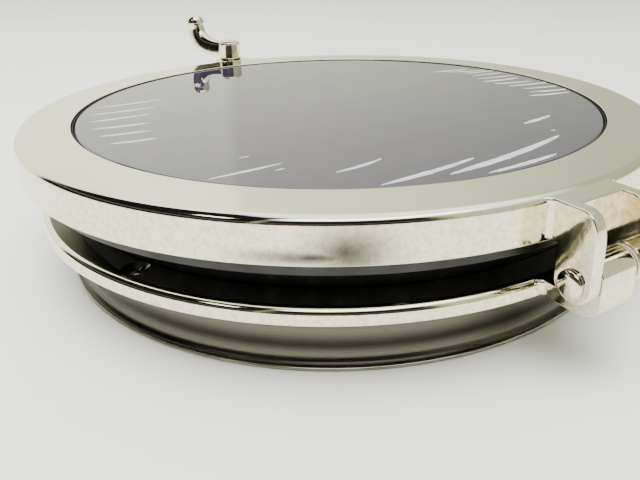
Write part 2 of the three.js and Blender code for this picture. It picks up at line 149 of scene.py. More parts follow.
def combine(base, others, operation):
    """Joins other pieces to base, or cuts them out of it, and removes them."""
    for other in others:
        modifier = base.modifiers.new(operation.lower(), "BOOLEAN")
        modifier.operation = operation
        modifier.solver = "MANIFOLD"
        modifier.object = other
    bake_modifiers(base)
    for other in others:
        bpy.data.objects.remove(other)
    return base


def polish_shading(piece):
    """Smooth shading that keeps flat faces flat and sharp edges sharp."""
    for face in piece.data.polygons:
        face.use_smooth = True
    piece.data.set_sharp_from_angle(angle=SHARP_ANGLE)
    weighted = piece.modifiers.new("weighted", "WEIGHTED_NORMAL")
    weighted.keep_sharp = True
    weighted.weight = 80
    return bake_modifiers(piece)


def rounded(corners, steps=5):
    """A closed outline whose corners are rounded. Each corner is (x, y, fillet radius)."""
    points = []
    for i, (x, y, radius) in enumerate(corners):
        corner = Vector((x, y))
        before = Vector(corners[i - 1][:2]) - corner
        after = Vector(corners[(i + 1) % len(corners)][:2]) - corner
        if radius == 0:
            points.append(corner)
            continue
        half = before.angle(after) / 2
        reach = min(radius / math.tan(half), 0.49 * before.length, 0.49 * after.length)
        fillet = reach * math.tan(half)
        inwards = (before.normalized() + after.normalized()).normalized()
        centre = corner + inwards * (fillet / math.sin(half))
        start = corner + before.normalized() * reach - centre
        end = corner + after.normalized() * reach - centre
        turn = start.angle_signed(end)
        points.extend(
            centre + Matrix.Rotation(-turn * k / steps, 2) @ start for k in range(steps + 1)
        )
    return [tuple(point) for point in points]


def bridge(maker, lower, upper):
    """Faces between two rings of points. A ring of one point is a pole."""
    count = max(len(lower), len(upper))
    for i in range(count):
        j = (i + 1) % count
        corners = [ring[k % len(ring)] for ring, k in ((lower, i), (lower, j), (upper, j), (upper, i))]
        unique = list(dict.fromkeys(corners))
        if len(unique) > 2:
            maker.faces.new(unique)


def turned(name, outline, segments=RING_SEGMENTS):
    """A body turned about Z from (radius, height) points. A radius of 0 is a pole."""
    maker = bmesh.new()
    angles = [2 * math.pi * i / segments for i in range(segments)]
    rings = []
    for radius, height in outline:
        places = [(radius * math.cos(a), radius * math.sin(a), height) for a in angles]
        rings.append([maker.verts.new(place) for place in (places if radius > 0 else places[:1])])
    for lower, upper in zip(rings, rings[1:]):
        bridge(maker, lower, upper)
    if outline[0][0] > 0:
        bridge(maker, rings[-1], rings[0])
    return piece_from(maker, name)


def sleeve(name, inner, outer, bottom, top, edge=0.3 * MM):
    """A tube about Z with rounded edges."""
    corners = [(inner, bottom, edge), (outer, bottom, edge), (outer, top, edge), (inner, top, edge)]
    return turned(name, rounded(corners, 3), SMALL_SEGMENTS)


def rod(name, radius, bottom, top, segments=SMALL_SEGMENTS):
    """A plain cylinder about Z, for cutting bores."""
    return turned(name, [(0, bottom), (radius, bottom), (radius, top), (0, top)], segments)


def plate(name, outline, bottom, top, edge):
    """An outline in X and Y, raised between two levels, with rounded upper and lower edges."""
    maker = bmesh.new()
    base = maker.faces.new([maker.verts.new((x, y, bottom)) for x, y in outline])
    grown = bmesh.ops.extrude_face_region(maker, geom=[base])
    lifted = [item for item in grown["geom"] if isinstance(item, bmesh.types.BMVert)]
    bmesh.ops.translate(maker, verts=lifted, vec=(0, 0, top - bottom))
    bmesh.ops.recalc_face_normals(maker, faces=maker.faces)
    if edge > 0:
        rims = [e for e in maker.edges if abs(e.verts[0].co.z - e.verts[1].co.z) < 1e-7]
        bmesh.ops.bevel(maker, geom=rims, offset=edge, segments=3, profile=0.5, affect="EDGES")
    return piece_from(maker, name)


def side_plate(name, outline, start_x, end_x, edge):
    """An outline in Y and Z, as wide as the span from start_x to end_x."""
    piece = plate(name, outline, start_x, end_x, edge)
    piece.data.transform(Matrix(((0, 0, 1, 0), (1, 0, 0, 0), (0, 1, 0, 0), (0, 0, 0, 1))))
    return piece


def arc_points(centre_x, centre_y, radius, start_degrees, end_degrees, steps, rise=None):
    """Points on an arc, both ends included. A rise other than the radius flattens the arc."""
    step = (end_degrees - start_degrees) / steps
    angles = [math.radians(start_degrees + step * k) for k in range(steps + 1)]
    tall = rise or radius
    return [(centre_x + radius * math.cos(a), centre_y + tall * math.sin(a)) for a in angles]


def curved(start, control, end, steps=8):
    """Points on a quadratic curve, without its first one."""
    points = []
    for k in range(1, steps + 1):
        t = k / steps
        points.append(tuple(
            (1 - t) ** 2 * a + 2 * t * (1 - t) * b + t ** 2 * c for a, b, c in zip(start, control, end)
        ))
    return points


def moved(piece, *steps):
    """Applies matrices to the mesh itself, first one first."""
    for step in steps:
        piece.data.transform(step)
    return piece


def onto_hinge(piece):
    """Lays a body turned about Z along X, on the hinge axis."""
    turn = Matrix.Rotation(math.radians(90), 4, "Y")
    return moved(piece, turn, Matrix.Translation((0, hinge.y, hinge.z)))


def onto_latch(piece):
    """Moves a body turned about Z onto the latch axis."""
    return moved(piece, Matrix.Translation((latch.x, latch.y, 0)))


def on_ring(radius, azimuth_degrees, height=0.0):
    """A point on a circle around the ring axis."""
    angle = math.radians(azimuth_degrees)
    return (radius * math.cos(angle), radius * math.sin(angle), height)


def around(radius, azimuth_degrees):
    """The matrix that moves something from the ring axis out to a place on a circle."""
    turn = Matrix.Rotation(math.radians(azimuth_degrees), 4, "Z")
    return Matrix.Translation(on_ring(radius, azimuth_degrees)) @ turn


def fit(piece, body, slot, surface, *replaced):
    """Finishes a piece: its shading, its material, its body and the CAD nodes that it stands for."""
    polish_shading(piece)
    piece.data.materials.clear()
    piece.data.materials.append(surface.material)
    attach(piece, body)
    if replaced:
        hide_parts(*replaced)


# ---- materials ----
class NodeGraph:
    """Short calls for building the nodes that feed one shader."""

    def __init__(self, tree, shader):
        self.nodes = tree.nodes
        self.links = tree.links
        self.shader = self.nodes[shader]

    def feed(self, socket, value):
        """Gives a socket an output, a number or a few numbers."""
        if isinstance(value, bpy.types.NodeSocket):
            self.links.new(value, socket)
        elif socket.type == "RGBA":
            socket.default_value = (*value, 1)
        else:
            socket.default_value = value

    def set(self, socket, value):
        """Gives one of the shader's sockets an output, a number or a colour."""
        self.feed(self.shader.inputs[socket], value)

    def node(self, kind, inputs=(), **settings):
        """A node with its settings, and its inputs given as {name or number: value or output}."""
        made = self.nodes.new(kind)
        for key, value in settings.items():
            setattr(made, key, value)
        for key, value in dict(inputs).items():
            self.feed(made.inputs[key], value)
        return made

    def coordinates_of(self, kind):
        """Blender's coordinates of one kind: Object, Normal or Generated."""
        return self.node("ShaderNodeTexCoord").outputs[kind]

    def math(self, operation, *values):
        """One sum."""
        return self.node("ShaderNodeMath", dict(enumerate(values)), operation=operation).outputs[0]

    def times(self, first, second):
        """One value times another."""
        return self.math("MULTIPLY", first, second)

    def split(self, vector):
        """The X, Y and Z of a vector."""
        return self.node("ShaderNodeSeparateXYZ", {0: vector}).outputs

    def remap(self, value, low, high, start=0.3, end=0.7, shape="LINEAR"):
        """Turns a value between start and end into one between low and high."""
        inputs = {"Value": value, "From Min": start, "From Max": end, "To Min": low, "To Max": high}
        return self.node("ShaderNodeMapRange", inputs, interpolation_type=shape).outputs[0]

    def mix(self, factor, low, high, blend="MIX"):
        """Mixes two colours, or blends the second one over the first."""
        inputs = {"Factor": factor, "A": low, "B": high}
        return self.node("ShaderNodeMix", inputs, data_type="RGBA", blend_type=blend).outputs["Result"]


class Surface(NodeGraph):
    """A procedural material, with short calls for the marks that it can carry."""

    def __init__(self, name, metallic=0):
        self.material = bpy.data.materials.new(name)
        self.material.use_nodes = True
        super().__init__(self.material.node_tree, "Principled BSDF")
        self.set("Metallic", metallic)
        self.coordinates = self.coordinates_of("Object")
        self.tone = None

    def color(self, output):
        """Gives the shader its colour, and keeps it so that marks can be mixed over it."""
        self.tone = output
        self.set("Base Color", output)

    def ramp(self, value, dark, light, start=0.3, end=0.7):
        """Runs from a dark colour to a light one while a value goes from start to end."""
        ramp = self.node("ShaderNodeValToRGB", {"Fac": value})
        for element, position, color in zip(ramp.color_ramp.elements, (start, end), (dark, light)):
            element.position = position
            element.color = (*color, 1)
        return ramp.outputs["Color"]

    def noise(self, scale, detail=3.0, roughness=0.55, vector=None):
        """Noise from 0 to 1. The scale is in features for each metre."""
        inputs = {"Scale": scale, "Detail": detail, "Roughness": roughness}
        inputs["Vector"] = vector or self.coordinates
        return self.node("ShaderNodeTexNoise", inputs).outputs["Fac"]

    def bump(self, *layers):
        """Bump from (height output, depth in metres) layers, the last one on top."""
        normal = None
        for height, depth in layers:
            inputs = {"Height": height, "Distance": depth, "Strength": 1.0}
            if normal is not None:
                inputs["Normal"] = normal
            normal = self.node("ShaderNodeBump", inputs).outputs["Normal"]
        self.set("Normal", normal)

    def stretched(self, scale):
        """The object coordinates, scaled differently along each axis."""
        return self.node("ShaderNodeMapping", {"Vector": self.coordinates, "Scale": scale}).outputs[0]

    def length(self, vector):
        """How long a vector is."""
        return self.node("ShaderNodeVectorMath", {0: vector}, operation="LENGTH").outputs["Value"]

    def radius(self):
        """The distance from the ring axis, in metres."""
        return self.length(self.stretched((1, 1, 0)))

    def lathe_lines(self, detail, fineness, scales, roughness, depth):
        """Lines left by turning. The scales run around the ring axis, out from it and up it."""
        x, y, z = self.split(self.coordinates)
        places = (self.math("ARCTAN2", y, x), self.radius(), z)
        scaled = [self.times(place, scale) for place, scale in zip(places, scales)]
        polar = self.node("ShaderNodeCombineXYZ", dict(enumerate(scaled))).outputs[0]
        lines = self.noise(1, detail, fineness, polar)
        self.set("Roughness", self.remap(lines, *roughness))
        self.bump((lines, depth))

    def fade(self, distance, reach):
        """1 at a distance of 0, easing down to 0 at the reach."""
        return self.remap(distance, 1, 0, 0, reach, "SMOOTHSTEP")

    def near(self, centre, reach):
        """1 at a point, easing down to 0 at its reach along each axis."""
        inputs = {"Vector": self.coordinates, "Scale": tuple(1 / r for r in reach)}
        inputs["Location"] = tuple(-c / r for c, r in zip(centre, reach))
        return self.fade(self.length(self.node("ShaderNodeMapping", inputs).outputs[0]), 1)

    def near_height(self, centre, reach):
        """1 at a height, easing down to 0 above and below it."""
        height = self.split(self.coordinates)["Z"]
        away = self.math("ABSOLUTE", self.math("SUBTRACT", height, centre))
        return self.fade(away, reach)

    def levelness(self):
        """1 on level faces, down to 0 on upright ones."""
        return self.math("ABSOLUTE", self.split(self.coordinates_of("Normal"))["Z"])

    def upright(self):
        """1 on upright faces and those near it, down to 0 on level ones."""
        return self.remap(self.levelness(), 1, 0, 0.2, 0.8)


def polished_steel(name="polished_steel"):
    """Mirror-polished stainless steel. Its upright sides carry faint blotches and a fine orange peel."""
    steel = Surface(name, metallic=1)
    upright = steel.upright()
    blotches = steel.noise(380, 6, 0.75)
    stain = steel.remap(blotches, 0.3, 1, 0.45, 0.62)
    worn = steel.times(stain, upright)
    clean = steel.ramp(steel.noise(22, 3), (0.89, 0.88, 0.69), (0.94, 0.935, 0.77))
    steel.color(steel.mix(worn, clean, (0.7, 0.6, 0.4)))
    smudges = steel.noise(60, 6, 0.7)
    steel.set("Roughness", steel.remap(smudges, 0.035, 0.12))
    peel = steel.times(steel.noise(420, 4, 0.6), upright)
    steel.bump((steel.noise(90, 2), 0.05 * MM), (peel, 0.03 * MM))
    return steel


def lid_steel():
    """The lid's polished steel, with a painted shadow on its side, some 30 degrees from the hinge: a dull
    grey patch that stands in for a reflected shadow.
    """
    steel = polished_steel("lid_steel")
    # painted shadow: a soft dark patch on the upright side, painted into the colour in place of a reflected
    # shadow
    low_place = on_ring(lid_radius, -124, lid_bottom + 4 * MM)
    tall_place = on_ring(lid_radius, -120, lid_bottom + 6 * MM)
    low_painted_shadow = steel.near(low_place, (46 * MM, 46 * MM, 5 * MM))
    tall_painted_shadow = steel.near(tall_place, (26 * MM, 26 * MM, 17 * MM))
    painted_shadow = steel.math("MAXIMUM", low_painted_shadow, tall_painted_shadow)
    patchy_painted_shadow = steel.times(painted_shadow, steel.remap(steel.noise(90, 4, 0.6), 0.8, 1))
    steel.color(steel.mix(steel.times(patchy_painted_shadow, steel.upright()), steel.tone, (0.02, 0.02, 0.017)))
    return steel


def flange_steel():
    """The flange's polished steel, with painted shade darkening the cones of its screw holes."""
    steel = polished_steel("flange_steel")
    edge = 0.2 * MM
    holes_start = hole_circle - countersink_radius - 0.5 * MM
    holes_end = hole_circle + countersink_radius + 0.1 * MM
    past_start = steel.remap(steel.radius(), 0, 1, holes_start, holes_start + edge)
    before_end = steel.remap(steel.radius(), 1, 0, holes_end, holes_end + edge)
    sloping = steel.remap(steel.levelness(), 1, 0, 0.93, 0.97)
    # painted shade: the sloping faces of the countersinks are painted dark, where shade falls in the holes
    # under the lid
    hole = steel.times(steel.times(past_start, before_end), sloping)
    steel.color(steel.mix(hole, steel.tone, (0.1, 0.1, 0.09)))
    return steel


def satin_steel():
    """Dark fine-turned satin stainless steel, with painted reflections: lighter in a belt low down and
    under the flange.
    """
    steel = Surface("satin_steel", metallic=1)
    # painted reflection: a lighter belt low down and a lighter band under the flange stand in for the
    # floor's reflection
    painted_reflection_belt = steel.near_height(5.8 * MM, 4.2 * MM)
    top = steel.near_height(17 * MM, 7 * MM)
    painted_reflection = steel.math("MAXIMUM", painted_reflection_belt, top)
    plain = steel.ramp(steel.noise(20, 4), (0.028, 0.026, 0.02), (0.038, 0.036, 0.029))
    steel.color(steel.mix(painted_reflection, plain, (0.135, 0.126, 0.102)))
    steel.lathe_lines(4, 0.7, (6, 300, 4000), (0.22, 0.32), 0.006 * MM)
    return steel


def rim_steel():
    """The spigot's rim, buffed brighter than the tube."""
    steel = Surface("rim_steel", metallic=1)
    steel.color(steel.ramp(steel.noise(45), (0.24, 0.23, 0.19), (0.36, 0.345, 0.3)))
    steel.lathe_lines(3, 0.6, (9, 1500, 3000), (0.1, 0.22), 0.004 * MM)
    return steel


def machined_steel(name="machined_steel", grey=0.3):
    """Plain machined stainless steel with turning lines, dull and a little stained."""
    steel = Surface(name, metallic=1)
    low = 0.75 * grey
    high = 1.15 * grey
    stains = steel.noise(55, 5, 0.65)
    steel.color(steel.ramp(stains, (low, low, 0.96 * low), (high, high, 0.97 * high)))
    steel.lathe_lines(3, 0.6, (5, 2500, 2500), (0.28, 0.42), 0.01 * MM)
    return steel


def black_rubber():
    """Matt black rubber with a fine skin and a little dust."""
    rubber = Surface("black_rubber")
    rubber.set("Specular IOR Level", 0.15)
    dust = rubber.noise(120, 8, 0.75)
    rubber.color(rubber.ramp(dust, (0.004, 0.004, 0.005), (0.02, 0.02, 0.019), 0.5, 0.8))
    skin = rubber.noise(2500, 2)
    rubber.set("Roughness", rubber.remap(skin, 0.5, 0.7))
    rubber.bump((skin, 0.02 * MM))
    return rubber


def white_nylon():
    """Natural nylon: warm white and slightly translucent, with a moulded skin."""
    nylon = Surface("white_nylon")
    nylon.set("Subsurface Weight", 0.2)
    nylon.set("Subsurface Scale", 1 * MM)
    nylon.color(nylon.ramp(nylon.noise(150), (0.72, 0.7, 0.63), (0.82, 0.81, 0.76)))
    nylon.set("Roughness", nylon.remap(nylon.noise(700), 0.38, 0.52))
    nylon.bump((nylon.noise(1800), 0.01 * MM))
    return nylon


def tinted_glass():
    """Grey-violet toughened glass, with faint smears."""
    glass = Surface("tinted_glass")
    glass.set("IOR", 1.6)
    glass.set("Transmission Weight", 0.4)
    glass.set("Coat Weight", 0.2)
    glass.set("Coat Roughness", 0.02)
    smears = glass.noise(1, 5, 0.6, glass.stretched((9, 60, 9)))
    glass.color(glass.ramp(smears, (0.04, 0.036, 0.064), (0.054, 0.048, 0.085)))
    glass.set("Roughness", glass.remap(smears, 0.01, 0.05, 0.45, 0.8))
    glass.bump((glass.noise(14, 1), 0.02 * MM))
    return glass


def film_residue():
    """Milky remains of a protective film, thin and torn at the edges."""
    film = Surface("film_residue")
    film.set("Roughness", 0.4)
    fibres = film.noise(1, 5, 0.7, film.stretched((120, 1400, 400)))
    film.color(film.ramp(fibres, (0.42, 0.42, 0.47), (0.68, 0.68, 0.7), 0.35, 0.65))
    film.set("Alpha", film.remap(fibres, 0.55, 0.95))
    film.bump((fibres, 0.05 * MM))
    return film


# ---- frame pieces ----
def lug_root(ring_radius, half_width, end_y):
    """The flared root where the hinge lug grows out of a ring, seen from above."""
    root_half_width = half_width + lug_flare
    root_y = -math.sqrt(ring_radius ** 2 - root_half_width ** 2) + 0.4 * MM
    neck_y = root_y - lug_flare
    inner_y = root_y + lug_embed
    left = curved((-root_half_width, root_y), (-half_width, root_y), (-half_width, neck_y))
    right = curved((half_width, neck_y), (half_width, root_y), (root_half_width, root_y))
    ends = [(-half_width, end_y), (half_width, end_y), (half_width, neck_y)]
    return [(-root_half_width, root_y), *left, *ends, *right, (half_width, inner_y), (-half_width, inner_y)]


def hinge_knuckle_outline():
    """Side view of the frame's lug: a flat arm that curls up around the pin."""
    rear = -flange_radius + lug_embed
    neck = 2 * MM
    arm = [(rear, flange_seat), (rear, flange_top), (knuckle_back + neck, flange_top)]
    inner = curved(arm[-1], (knuckle_back, flange_top), (knuckle_back, flange_top + neck))
    barrel = arc_points(hinge.y, hinge.z, knuckle_radius, 0, 180, 16)
    start = (knuckle_front, flange_top + neck)
    foot = curved(start, (knuckle_front, flange_seat), (hinge.y + 2 * neck, flange_seat), 12)
    return [*arm, *inner, *barrel, start, *foot]


def flange_holes():
    """Cutters for six countersunk holes, clear of the hinge and the latch."""
    sink = countersink_radius - hole_radius
    mouth = countersink_radius + 0.25 * MM
    outline = [
        (0, flange_seat - MM),
        (hole_radius, flange_seat - MM),
        (hole_radius, flange_top - sink),
        (countersink_radius, flange_top),
        (mouth, flange_top + 0.1 * MM),
        (mouth, flange_top + MM),
        (0, flange_top + MM),
    ]
    return [
        moved(turned("hole", outline, SMALL_SEGMENTS), around(hole_circle, side * from_hinge - 90))
        for from_hinge in (63, 111, 159)
        for side in (1, -1)
    ]


def flange_ring():
    """The polished frame ring, its seal upstand, its hinge knuckle and six countersunk holes."""
    upstand = clear_radius + 2.5 * MM
    upstand_top = flange_top + 7.5 * MM
    rebate_radius = spigot_radius + GAP
    rebate_top = spigot_high.z + GAP
    ring = turned("flange_ring_polished", rounded([
        (clear_radius, rebate_top, 0.6 * MM),
        (rebate_radius, rebate_top, 0),
        (rebate_radius, flange_seat, 0.3 * MM),
        (flange_radius, flange_seat, 0.5 * MM),
        (flange_radius, flange_top, 3.5 * MM),
        (upstand, flange_top, 0.4 * MM),
        (upstand, upstand_top, 0.8 * MM),
        (clear_radius, upstand_top, 0.8 * MM),
    ], 8))
    root_plan = lug_root(flange_radius, knuckle_half_width, knuckle_back)
    root = plate("root", root_plan, flange_seat, flange_top - 0.2 * MM, 1.6 * MM)
    side = hinge_knuckle_outline()
    knuckle = side_plate("knuckle", side, -knuckle_half_width, knuckle_half_width, 0.7 * MM)
    combine(ring, [root, knuckle], "UNION")
    cutters = [onto_hinge(rod("bore", pin_radius + GAP, -bore_reach, bore_reach)), *flange_holes()]
    for i in KEEPER_SCREWS:
        drill = rod("drill", keeper_drill_radius, flange_top - 5.3 * MM, flange_top + MM, 24)
        cutters.append(onto_keeper_screw(drill, i))
    return combine(ring, cutters, "DIFFERENCE")


def spigot_tube():
    """The satin tube that passes through the hull, flared out at its lower end to meet the rim."""
    foot = spigot_rim_height + 0.02 * MM
    flare_top = 8 * MM
    flare_edge = spigot_high.x - 0.7 * MM
    flare = curved((flare_edge, foot), (spigot_radius, foot + 0.8 * MM), (spigot_radius, flare_top), 10)
    return turned("spigot_tube_satin", [
        (spigot_inner, foot),
        (flare_edge, foot),
        *flare,
        (spigot_radius, spigot_high.z - 0.4 * MM),
        (spigot_radius - 0.4 * MM, spigot_high.z),
        (spigot_inner, spigot_high.z),
    ])


def spigot_rim():
    """The bright round rim around the end of the spigot."""
    inner = spigot_inner
    outer = spigot_high.x
    top = spigot_rim_height
    edge = 0.7 * MM
    corners = [(inner, 0, edge), (outer, 0, edge), (outer, top, edge), (inner, top, 0)]
    return turned("spigot_rim_bright", rounded(corners, 7))


def compression_seal():
    """The D-section rubber seal, with fine ribs along its round back."""
    back = 3.2 * MM
    rib_height = 0.35 * MM
    middle = seal_high.x - back
    shoulder = seal_high.z - back
    profile = [(middle - back, seal_low.z), (seal_high.x, seal_low.z)]
    steps = 28
    for k in range(steps + 1):
        angle = math.pi * k / steps
        rib = rib_height * max(0, math.cos(6 * angle)) ** 3
        reach = back - rib_height + rib
        profile.append((middle + reach * math.cos(angle), shoulder + reach * math.sin(angle)))
    return turned("compression_seal_rubber", profile)


def hinge_pin():
    """The hinge pin: a domed head, a plain shank and a chamfered end."""
    head = 5.5 * MM
    chamfer = 0.6 * MM
    shank_start = pin_low.x + 2.6 * MM
    dome = arc_points(0, shank_start - 0.9 * MM, head, -80, 0, 8, 1.7 * MM)
    outline = [(0, pin_low.x), *dome, (head, shank_start), (pin_radius, shank_start)]
    outline += [(pin_radius, pin_high.x - chamfer), (pin_radius - chamfer, pin_high.x), (0, pin_high.x)]
    return onto_hinge(turned("hinge_pin_domed", outline, SMALL_SEGMENTS))


def hinge_clip():
    """A split retaining ring on the pin's end."""
    low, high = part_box("hinge_pin_clip")
    ring = sleeve("hinge_clip_split", pin_radius + GAP, 6 * MM, low.x, high.x, 0.3 * MM)
    half_slit = 1.1 * MM
    reach = 8 * MM
    corners = [(0, -half_slit), (reach, -half_slit), (reach, half_slit), (0, half_slit)]
    slit = plate("slit", corners, low.x - MM, high.x + MM, 0)
    return onto_hinge(combine(ring, [slit], "DIFFERENCE"))


def hinge_sleeve(name, node, outer):
    """A nylon washer or bush on the hinge axis, where its CAD node is."""
    low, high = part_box(node)
    return onto_hinge(sleeve(name, pin_radius + GAP, outer, low.x, high.x, 0.25 * MM))


def onto_keeper_screw(piece, index):
    """Moves a body turned about Z onto the axis of one of the keeper's screws."""
    low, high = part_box(f"keeper_screw_{index}")
    middle = (low + high) / 2
    return moved(piece, Matrix.Translation((middle.x, middle.y, 0)))


def latch_keeper():
    """The overhanging lip that the latch tongue turns under, cut from bar."""
    post_left = -12 * MM
    post_right = -7 * MM
    foot_top = flange_top + 3 * MM
    lip_underside = tongue_high.z + GAP
    section = rounded([
        (keeper_low.x, keeper_low.z, 0.4 * MM),
        (post_right, keeper_low.z, 0.4 * MM),
        (post_right, lip_underside, 0.9 * MM),
        (keeper_high.x, lip_underside, 0.8 * MM),
        (keeper_high.x, keeper_high.z, 1.2 * MM),
        (post_left, keeper_high.z, 2.2 * MM),
        (post_left, foot_top, 1.2 * MM),
        (keeper_low.x, foot_top, 1.2 * MM),
    ], 5)
    bar = plate("latch_keeper_bar", section, -keeper_high.y, -keeper_low.y, 0.5 * MM)
    moved(bar, Matrix.Rotation(math.radians(90), 4, "X"))
    drills = [
        onto_keeper_screw(rod("drill", keeper_drill_radius, keeper_low.z - MM, foot_top + MM, 24), i)
        for i in KEEPER_SCREWS
    ]
    return combine(bar, drills, "DIFFERENCE")


def keeper_screw(index):
    """A small pan-head screw with a hexagon socket."""
    low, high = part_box(f"keeper_screw_{index}")
    head = (high.x - low.x) / 2
    head_bottom = high.z - 1.8 * MM
    rim = head_bottom + 0.8 * MM
    shank = 1.5 * MM
    outline = [(0, low.z), (shank - 0.3 * MM, low.z), (shank, low.z + 0.3 * MM), (shank, head_bottom)]
    outline += [(head, head_bottom), (head, rim), *arc_points(0, rim, head, 15, 75, 4, MM), (0, high.z)]
    screw = turned(f"keeper_screw_socket_{index}", outline, 32)
    combine(screw, [rod("socket", 0.95 * MM, high.z - 1.1 * MM, high.z + MM, 6)], "DIFFERENCE")
    return onto_keeper_screw(screw, index)


# ---- lid pieces ----
def ear_outline():
    """Side view of one of the lid's hinge ears."""
    rear = -lid_radius + lug_embed
    top = lid_top - 0.9 * MM
    under = lid_bottom + 1.5 * MM
    crown = curved((hinge.y, top), (knuckle_front, top), (knuckle_front, hinge.z + 16 * MM), 10)
    barrel = arc_points(hinge.y, hinge.z, knuckle_radius, 180, 360, 16)
    return [(knuckle_back, under), (rear, under), (rear, top), (hinge.y, top), *crown, *barrel]


def latch_lug_plan():
    """The lug that carries the latch, seen from above."""
    flare = latch_boss_radius + 9 * MM
    root_y = math.sqrt(lid_radius ** 2 - flare ** 2) - 0.6 * MM
    shoulder_y = root_y + 2 * MM
    inner_y = root_y - lug_embed
    left = curved((-flare, root_y), (-latch_boss_radius, shoulder_y), (-latch_boss_radius, latch.y), 10)
    boss = arc_points(0, latch.y, latch_boss_radius, 180, 0, 24)[1:-1]
    right = curved((latch_boss_radius, latch.y), (latch_boss_radius, shoulder_y), (flare, root_y), 10)
    ends = [(latch_boss_radius, inner_y), (-latch_boss_radius, inner_y)]
    return [(-flare, root_y), *left, *boss, (latch_boss_radius, latch.y), *right, *ends]


def lid_ring():
    """The polished lid ring with its hinge ears and latch lug."""
    ring = turned("lid_ring_polished", rounded([
        (sight_radius, lid_bottom, 0.3 * MM),
        (lid_radius, lid_bottom, 1.3 * MM),
        (lid_radius, lid_top, 3.9 * MM),
        (sight_radius, lid_top, 0.3 * MM),
    ], 9))
    block_plan = lug_root(lid_radius, ear_outer, hinge.y + pin_radius + GAP)
    block = plate("block", block_plan, lid_bottom + 1.5 * MM, lid_top - 0.9 * MM, 1.2 * MM)
    ears = [
        side_plate("ear", ear_outline(), start, start + ear_outer - ear_inner, 0.7 * MM)
        for start in (ear_inner, -ear_outer)
    ]
    lug_bottom = lid_bottom + 2.5 * MM
    lug = plate("lug", latch_lug_plan(), lug_bottom, lid_top - 0.05 * MM, 1.2 * MM)
    combine(ring, [block, *ears, lug], "UNION")
    cutters = [
        onto_hinge(rod("bore", bush_radius + GAP, -bore_reach, bore_reach)),
        onto_latch(rod("bore", latch_bush_radius + GAP, lid_bottom, lid_top + MM)),
        onto_latch(sleeve("groove", *o_ring_groove, lid_top - 1.5 * MM, lid_top + MM, 0)),
    ]
    return combine(ring, cutters, "DIFFERENCE")


def glass_pane():
    """The toughened glass, with ground edges."""
    bottom = glass_low.z
    top = glass_high.z
    edge = glass_high.x
    bevel = 0.8 * MM
    corners = [(0, bottom, 0), (edge, bottom, bevel), (edge, top, bevel), (0, top, 0)]
    return turned("glass_pane_tinted", rounded(corners, steps=1))


def glazing_seal():
    """The black seal under and around the glass."""
    wall_inner = glass_high.x + GAP
    return turned("glazing_seal_rubber", rounded([
        (glazing_inner, glazing_low.z, 0.3 * MM),
        (glazing_high.x, glazing_low.z, 0.3 * MM),
        (glazing_high.x, glazing_high.z, 0.25 * MM),
        (wall_inner, glazing_high.z, 0.25 * MM),
        (wall_inner, glass_low.z - GAP, 0),
        (glazing_inner, glass_low.z - GAP, 0.3 * MM),
    ], 3))


def land_ring():
    """The grey ring under the lid that closes on the seal and holds up the glass."""
    step = sight_radius - GAP
    land_top = lid_bottom - GAP
    ring = turned("lid_land_ring_turned", rounded([
        (land_inner, land_low.z, 0.5 * MM),
        (land_high.x, land_low.z, 0.6 * MM),
        (land_high.x, land_top, 0.4 * MM),
        (step, land_top, 0.2 * MM),
        (step, land_high.z, 0.3 * MM),
        (land_inner, land_high.z, 0.4 * MM),
    ], 4))
    hole = land_screw_hole_radius
    below = land_low.z - MM
    above = land_top + MM
    outline = [(0, below), (2 * hole, below), (2 * hole, land_low.z), (hole, land_low.z + hole)]
    outline += [(hole, above), (0, above)]
    sinks = [
        moved(turned("sink", outline, 32), around(land_screw_circle, azimuth))
        for azimuth in LAND_SCREW_AZIMUTHS
    ]
    return combine(ring, sinks, "DIFFERENCE")


def land_screw(index, azimuth):
    """A countersunk screw with a hexagon socket, head down."""
    low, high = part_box(f"lid_land_screw_{index}")
    head = 4 * MM
    shank = 2 * MM
    outline = [(0, low.z), (head - 0.1 * MM, low.z), (head, low.z + 0.15 * MM), (shank, low.z + 2.1 * MM)]
    outline += [(shank, high.z - 0.5 * MM), (shank - 0.5 * MM, high.z), (0, high.z)]
    screw = turned(f"lid_land_screw_socket_{index}", outline, 32)
    combine(screw, [rod("socket", 1.45 * MM, low.z - MM, low.z + 1.3 * MM, 6)], "DIFFERENCE")
    return moved(screw, around(land_screw_circle, azimuth))


def latch_bush():
    """The flanged nylon bush that the spindle turns in."""
    bore = spindle_radius + GAP
    flange_bottom = bush_low.z
    flange_level = lid_bottom + 2.2 * MM
    outer = (bush_high.x - bush_low.x) / 2
    return onto_latch(turned("latch_bush_flanged", rounded([
        (bore, flange_bottom, 0.4 * MM),
        (outer, flange_bottom, 0.5 * MM),
        (outer, flange_level, 0.3 * MM),
        (latch_bush_radius, flange_level, 0),
        (latch_bush_radius, bush_high.z, 0.4 * MM),
        (bore, bush_high.z, 0.4 * MM),
    ], 4), SMALL_SEGMENTS))


def o_ring():
    """The small rubber ring between the handle's hub and the lid."""
    low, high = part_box("latch_o_ring")
    tube = (high.z - low.z) / 2
    middle = (high.x - low.x) / 2 - tube
    section = arc_points(middle, low.z + tube, tube, 0, 337.5, 15)
    return onto_latch(turned("latch_o_ring_rubber", section, SMALL_SEGMENTS))


# ---- latch pieces ----
def lever_line():
    """The lever's centreline as (distance from the hub, height above the lid, thickness)."""
    start = (4 * MM, 7.6 * MM, 13.6 * MM)
    straight = (0.36 * lever_reach, 7.6 * MM, 14 * MM)
    elbow = (lever_reach + MM, 8.5 * MM, 17 * MM)
    tip = (lever_reach, lever_rise, 2 * lever_tip_radius)
    return [start, straight, *curved(straight, elbow, tip, 16)]


def squared(value, power):
    """A sine or cosine pushed outwards, to flatten a round section's sides. A power of 1 leaves it."""
    return math.copysign(abs(value) ** power, value)


